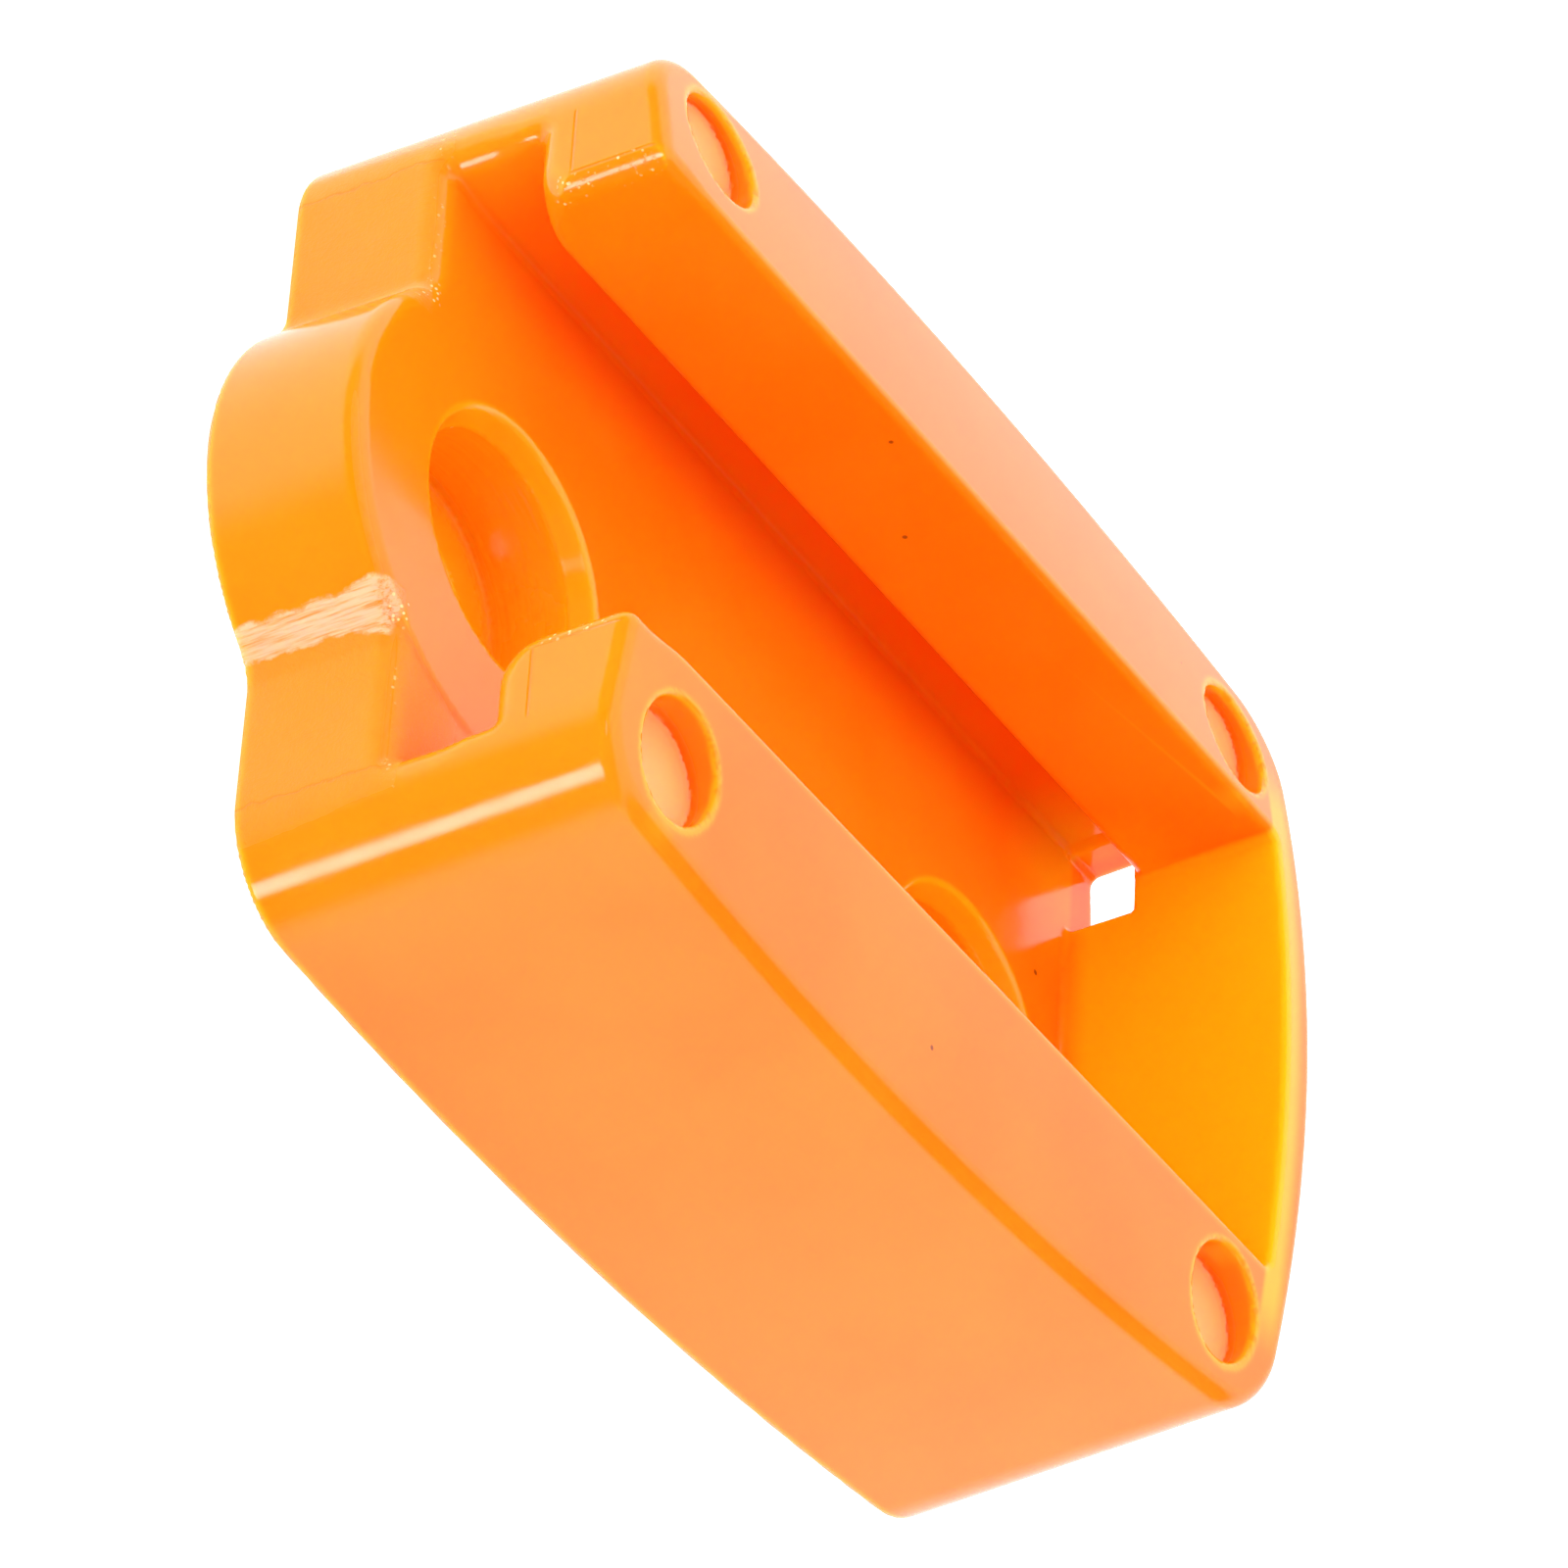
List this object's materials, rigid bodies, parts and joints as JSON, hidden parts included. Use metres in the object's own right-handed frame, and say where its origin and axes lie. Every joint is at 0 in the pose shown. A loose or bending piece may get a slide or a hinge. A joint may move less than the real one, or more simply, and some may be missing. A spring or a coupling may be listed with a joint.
{
  "type": "slide-in accessory mount",
  "caption": "Crowned rectangular mount body with a T-shaped channel open at one end, a round lug and counterbored screw holes in the channel floor.",
  "frame": {"origin": "centre of the footprint (lug included), on the flat back face", "axes": "+X from the open end of the channel to its closed end, +Z from the back face up to the crowned rails, +Y across the channel; the body is mirror-symmetric about the XZ plane"},
  "size_m": [0.0436, 0.0316, 0.0139],
  "materials": {
    "orange_plastic": "glossy, slightly translucent orange moulding, spark-eroded texture on the open end face"
  },
  "bodies": {
    "root": {"slide_mount_body": "orange_plastic"}
  },
  "joints": []
}
